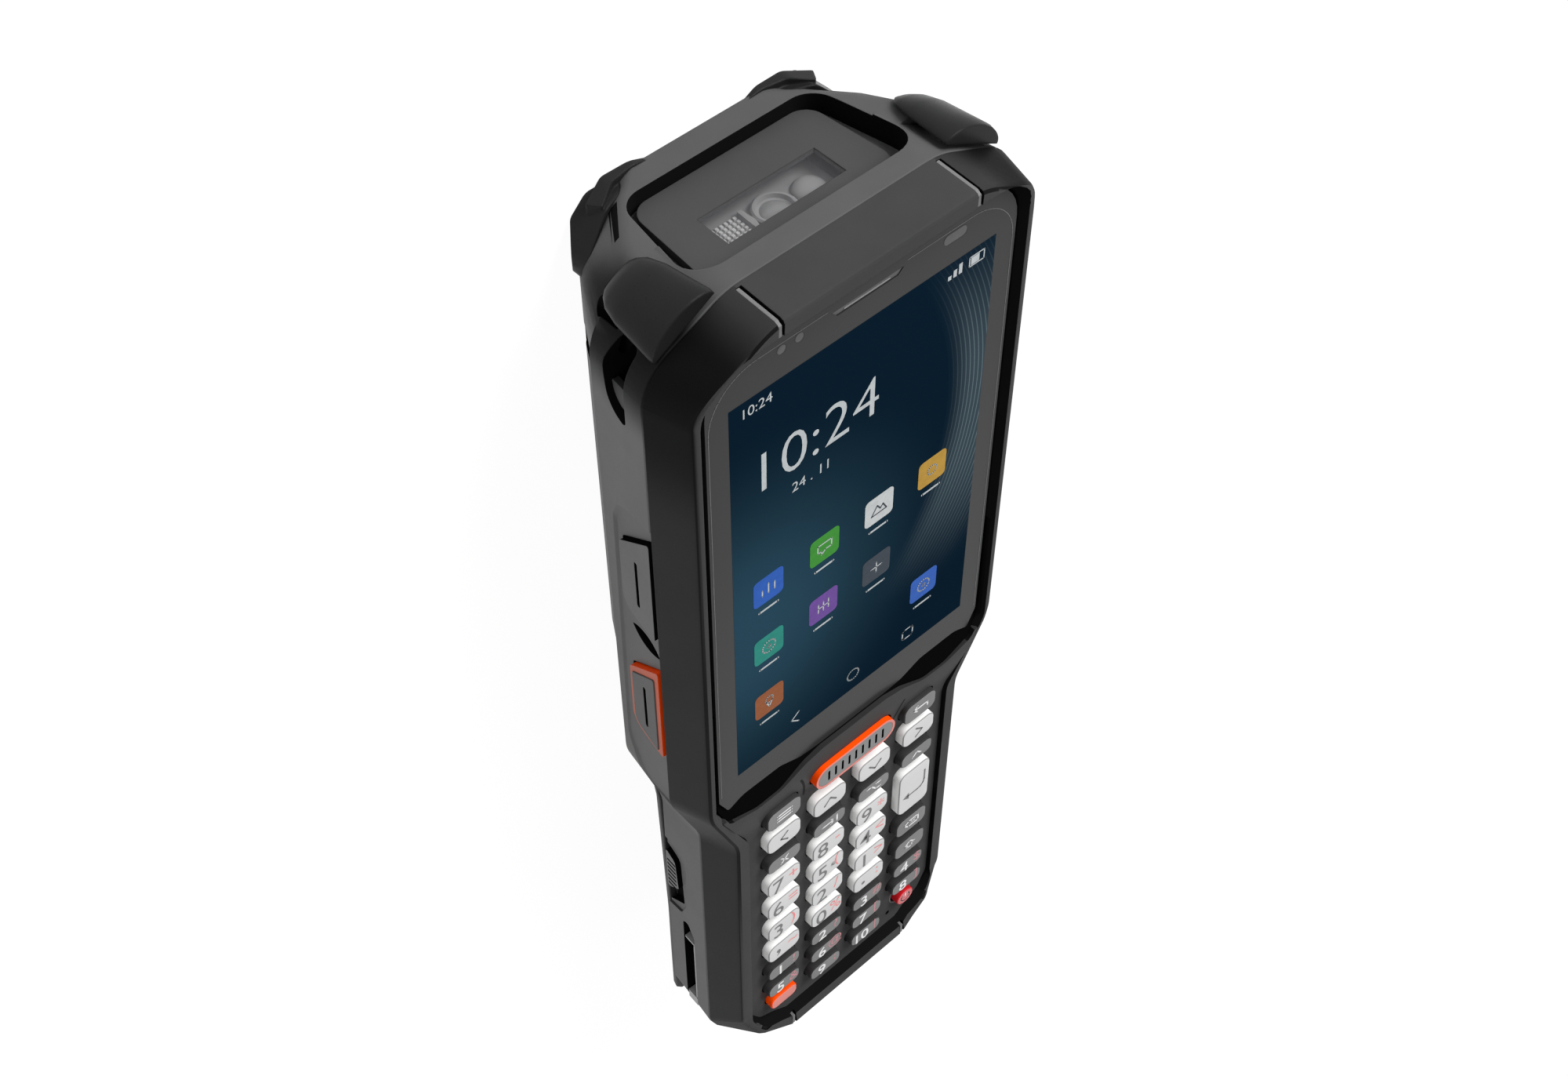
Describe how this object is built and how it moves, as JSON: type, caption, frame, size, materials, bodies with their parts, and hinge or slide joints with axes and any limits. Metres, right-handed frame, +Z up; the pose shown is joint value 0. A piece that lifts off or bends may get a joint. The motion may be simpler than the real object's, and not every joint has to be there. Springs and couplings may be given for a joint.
{
  "type": "portable barcode data terminal",
  "caption": "Rugged handheld data terminal with a long touch display, a full keypad, a scanning end, side triggers and a slide-off battery pack that forms the grip.",
  "frame": {"origin": "middle of the base, on the plane the terminal lies on", "axes": "the terminal lies on its back: X to the right as seen from the front, Y towards the scanning end, Z up out of the display"},
  "size_m": [0.071, 0.1992, 0.0386],
  "materials": {
    "housing_dark": "matte",
    "housing_grey": "matte",
    "trim_grey": "matte",
    "cover_glass": "gloss",
    "screen": "gloss",
    "rubber_black": "matte",
    "mat_black": "matte",
    "board_green": "satin",
    "bezel_grey": "satin",
    "scan_glass": "gloss",
    "engine_black": "matte",
    "bumper_black": "matte",
    "button_grey": "satin",
    "orange": "satin",
    "pad_grey": "matte",
    "battery_black": "matte",
    "latch_grey": "satin",
    "screw_steel": "satin",
    "power_red": "satin",
    "key_white": "satin",
    "key_dark": "satin"
  },
  "bodies": {
    "housing": {"front_housing": "housing_dark", "rear_housing": "housing_grey", "trim_strips": "trim_grey", "display_glass": "cover_glass", "display_panel": "screen", "display_gasket": "rubber_black", "keypad_mat": "mat_black", "main_board": "board_green", "scan_bezel": "bezel_grey", "scan_window": "scan_glass", "scan_engine": "engine_black", "corner_bumpers": "bumper_black", "screws": "screw_steel"},
    "battery": {"battery_pack": "battery_black"},
    "latch_left": {"battery_latch_left": "latch_grey"},
    "latch_right": {"battery_latch_right": "latch_grey"},
    "side_button": {"side_button": "button_grey"},
    "left_trigger": {"left_trigger": "orange", "left_trigger_pad": "pad_grey"},
    "right_trigger": {"right_trigger": "orange", "right_trigger_pad": "pad_grey"},
    "scan_key": {"scan_key": "orange", "scan_key_insert": "pad_grey"},
    "key_left": {"key_left": "key_white"},
    "key_7": {"key_7": "key_white"},
    "key_6": {"key_6": "key_white"},
    "key_3": {"key_3": "key_white"},
    "key_comma": {"key_comma": "key_white"},
    "key_up": {"key_up": "key_white"},
    "key_8": {"key_8": "key_white"},
    "key_5": {"key_5": "key_white"},
    "key_2": {"key_2": "key_white"},
    "key_0": {"key_0": "key_white"},
    "key_down": {"key_down": "key_white"},
    "key_9": {"key_9": "key_white"},
    "key_4": {"key_4": "key_white"},
    "key_1": {"key_1": "key_white"},
    "key_period": {"key_period": "key_white"},
    "key_right": {"key_right": "key_white"},
    "key_enter": {"key_enter": "key_white"},
    "key_menu": {"key_menu": "key_dark"},
    "key_escape": {"key_escape": "key_dark"},
    "key_f1": {"key_f1": "key_dark"},
    "key_f5": {"key_f5": "key_dark"},
    "key_tab": {"key_tab": "key_dark"},
    "key_f2": {"key_f2": "key_dark"},
    "key_f6": {"key_f6": "key_dark"},
    "key_f9": {"key_f9": "key_dark"},
    "key_alt": {"key_alt": "key_dark"},
    "key_f3": {"key_f3": "key_dark"},
    "key_f7": {"key_f7": "key_dark"},
    "key_f10": {"key_f10": "key_dark"},
    "key_back": {"key_back": "key_dark"},
    "key_control": {"key_control": "key_dark"},
    "key_erase": {"key_erase": "key_dark"},
    "key_shift": {"key_shift": "key_dark"},
    "key_f4": {"key_f4": "key_dark"},
    "key_f8": {"key_f8": "key_dark"},
    "key_blank": {"key_blank": "orange"},
    "key_power": {"key_power": "power_red"}
  },
  "joints": [
    {"name": "key_left_press", "type": "slide", "parent": "housing", "child": "key_left", "axis": [0, 0, -1], "range_m": [0, 0.0005], "stiffness_N_per_m": 60},
    {"name": "key_7_press", "type": "slide", "parent": "housing", "child": "key_7", "axis": [0, 0, -1], "range_m": [0, 0.0005], "stiffness_N_per_m": 60},
    {"name": "key_6_press", "type": "slide", "parent": "housing", "child": "key_6", "axis": [0, 0, -1], "range_m": [0, 0.0005], "stiffness_N_per_m": 60},
    {"name": "key_3_press", "type": "slide", "parent": "housing", "child": "key_3", "axis": [0, 0, -1], "range_m": [0, 0.0005], "stiffness_N_per_m": 60},
    {"name": "key_comma_press", "type": "slide", "parent": "housing", "child": "key_comma", "axis": [0, 0, -1], "range_m": [0, 0.0005], "stiffness_N_per_m": 60},
    {"name": "key_up_press", "type": "slide", "parent": "housing", "child": "key_up", "axis": [0, 0, -1], "range_m": [0, 0.0005], "stiffness_N_per_m": 60},
    {"name": "key_8_press", "type": "slide", "parent": "housing", "child": "key_8", "axis": [0, 0, -1], "range_m": [0, 0.0005], "stiffness_N_per_m": 60},
    {"name": "key_5_press", "type": "slide", "parent": "housing", "child": "key_5", "axis": [0, 0, -1], "range_m": [0, 0.0005], "stiffness_N_per_m": 60},
    {"name": "key_2_press", "type": "slide", "parent": "housing", "child": "key_2", "axis": [0, 0, -1], "range_m": [0, 0.0005], "stiffness_N_per_m": 60},
    {"name": "key_0_press", "type": "slide", "parent": "housing", "child": "key_0", "axis": [0, 0, -1], "range_m": [0, 0.0005], "stiffness_N_per_m": 60},
    {"name": "key_down_press", "type": "slide", "parent": "housing", "child": "key_down", "axis": [0, 0, -1], "range_m": [0, 0.0005], "stiffness_N_per_m": 60},
    {"name": "key_9_press", "type": "slide", "parent": "housing", "child": "key_9", "axis": [0, 0, -1], "range_m": [0, 0.0005], "stiffness_N_per_m": 60},
    {"name": "key_4_press", "type": "slide", "parent": "housing", "child": "key_4", "axis": [0, 0, -1], "range_m": [0, 0.0005], "stiffness_N_per_m": 60},
    {"name": "key_1_press", "type": "slide", "parent": "housing", "child": "key_1", "axis": [0, 0, -1], "range_m": [0, 0.0005], "stiffness_N_per_m": 60},
    {"name": "key_period_press", "type": "slide", "parent": "housing", "child": "key_period", "axis": [0, 0, -1], "range_m": [0, 0.0005], "stiffness_N_per_m": 60},
    {"name": "key_right_press", "type": "slide", "parent": "housing", "child": "key_right", "axis": [0, 0, -1], "range_m": [0, 0.0005], "stiffness_N_per_m": 60},
    {"name": "key_enter_press", "type": "slide", "parent": "housing", "child": "key_enter", "axis": [0, 0, -1], "range_m": [0, 0.0005], "stiffness_N_per_m": 60},
    {"name": "key_menu_press", "type": "slide", "parent": "housing", "child": "key_menu", "axis": [0, 0, -1], "range_m": [0, 0.0005], "stiffness_N_per_m": 60},
    {"name": "key_escape_press", "type": "slide", "parent": "housing", "child": "key_escape", "axis": [0, 0, -1], "range_m": [0, 0.0005], "stiffness_N_per_m": 60},
    {"name": "key_f1_press", "type": "slide", "parent": "housing", "child": "key_f1", "axis": [0, 0, -1], "range_m": [0, 0.0005], "stiffness_N_per_m": 60},
    {"name": "key_f5_press", "type": "slide", "parent": "housing", "child": "key_f5", "axis": [0, 0, -1], "range_m": [0, 0.0005], "stiffness_N_per_m": 60},
    {"name": "key_tab_press", "type": "slide", "parent": "housing", "child": "key_tab", "axis": [0, 0, -1], "range_m": [0, 0.0005], "stiffness_N_per_m": 60},
    {"name": "key_f2_press", "type": "slide", "parent": "housing", "child": "key_f2", "axis": [0, 0, -1], "range_m": [0, 0.0005], "stiffness_N_per_m": 60},
    {"name": "key_f6_press", "type": "slide", "parent": "housing", "child": "key_f6", "axis": [0, 0, -1], "range_m": [0, 0.0005], "stiffness_N_per_m": 60},
    {"name": "key_f9_press", "type": "slide", "parent": "housing", "child": "key_f9", "axis": [0, 0, -1], "range_m": [0, 0.0005], "stiffness_N_per_m": 60},
    {"name": "key_alt_press", "type": "slide", "parent": "housing", "child": "key_alt", "axis": [0, 0, -1], "range_m": [0, 0.0005], "stiffness_N_per_m": 60},
    {"name": "key_f3_press", "type": "slide", "parent": "housing", "child": "key_f3", "axis": [0, 0, -1], "range_m": [0, 0.0005], "stiffness_N_per_m": 60},
    {"name": "key_f7_press", "type": "slide", "parent": "housing", "child": "key_f7", "axis": [0, 0, -1], "range_m": [0, 0.0005], "stiffness_N_per_m": 60},
    {"name": "key_f10_press", "type": "slide", "parent": "housing", "child": "key_f10", "axis": [0, 0, -1], "range_m": [0, 0.0005], "stiffness_N_per_m": 60},
    {"name": "key_back_press", "type": "slide", "parent": "housing", "child": "key_back", "axis": [0, 0, -1], "range_m": [0, 0.0005], "stiffness_N_per_m": 60},
    {"name": "key_control_press", "type": "slide", "parent": "housing", "child": "key_control", "axis": [0, 0, -1], "range_m": [0, 0.0005], "stiffness_N_per_m": 60},
    {"name": "key_erase_press", "type": "slide", "parent": "housing", "child": "key_erase", "axis": [0, 0, -1], "range_m": [0, 0.0005], "stiffness_N_per_m": 60},
    {"name": "key_shift_press", "type": "slide", "parent": "housing", "child": "key_shift", "axis": [0, 0, -1], "range_m": [0, 0.0005], "stiffness_N_per_m": 60},
    {"name": "key_f4_press", "type": "slide", "parent": "housing", "child": "key_f4", "axis": [0, 0, -1], "range_m": [0, 0.0005], "stiffness_N_per_m": 60},
    {"name": "key_f8_press", "type": "slide", "parent": "housing", "child": "key_f8", "axis": [0, 0, -1], "range_m": [0, 0.0005], "stiffness_N_per_m": 60},
    {"name": "key_blank_press", "type": "slide", "parent": "housing", "child": "key_blank", "axis": [0, 0, -1], "range_m": [0, 0.0005], "stiffness_N_per_m": 60},
    {"name": "key_power_press", "type": "slide", "parent": "housing", "child": "key_power", "axis": [0, 0, -1], "range_m": [0, 0.0005], "stiffness_N_per_m": 60},
    {"name": "scan_key_press", "type": "slide", "parent": "housing", "child": "scan_key", "axis": [0, 0, -1], "range_m": [0, 0.0005], "stiffness_N_per_m": 80},
    {"name": "side_button_press", "type": "slide", "parent": "housing", "child": "side_button", "axis": [0.993, 0, 0.1177], "range_m": [0, 0.0008], "stiffness_N_per_m": 150},
    {"name": "left_trigger_press", "type": "slide", "parent": "housing", "child": "left_trigger", "axis": [0.993, 0, 0.1177], "range_m": [0, 0.0008], "stiffness_N_per_m": 150},
    {"name": "right_trigger_press", "type": "slide", "parent": "housing", "child": "right_trigger", "axis": [-0.993, 0, 0.1177], "range_m": [0, 0.0008], "stiffness_N_per_m": 150},
    {"name": "latch_left_slide", "type": "slide", "parent": "housing", "child": "latch_left", "axis": [0, -1, 0], "range_m": [0, 0.004], "stiffness_N_per_m": 100},
    {"name": "latch_right_slide", "type": "slide", "parent": "housing", "child": "latch_right", "axis": [0, -1, 0], "range_m": [0, 0.004], "stiffness_N_per_m": 100},
    {"name": "battery_slide", "type": "slide", "parent": "housing", "child": "battery", "axis": [0, -1, 0], "range_m": [0, 0.014]}
  ]
}
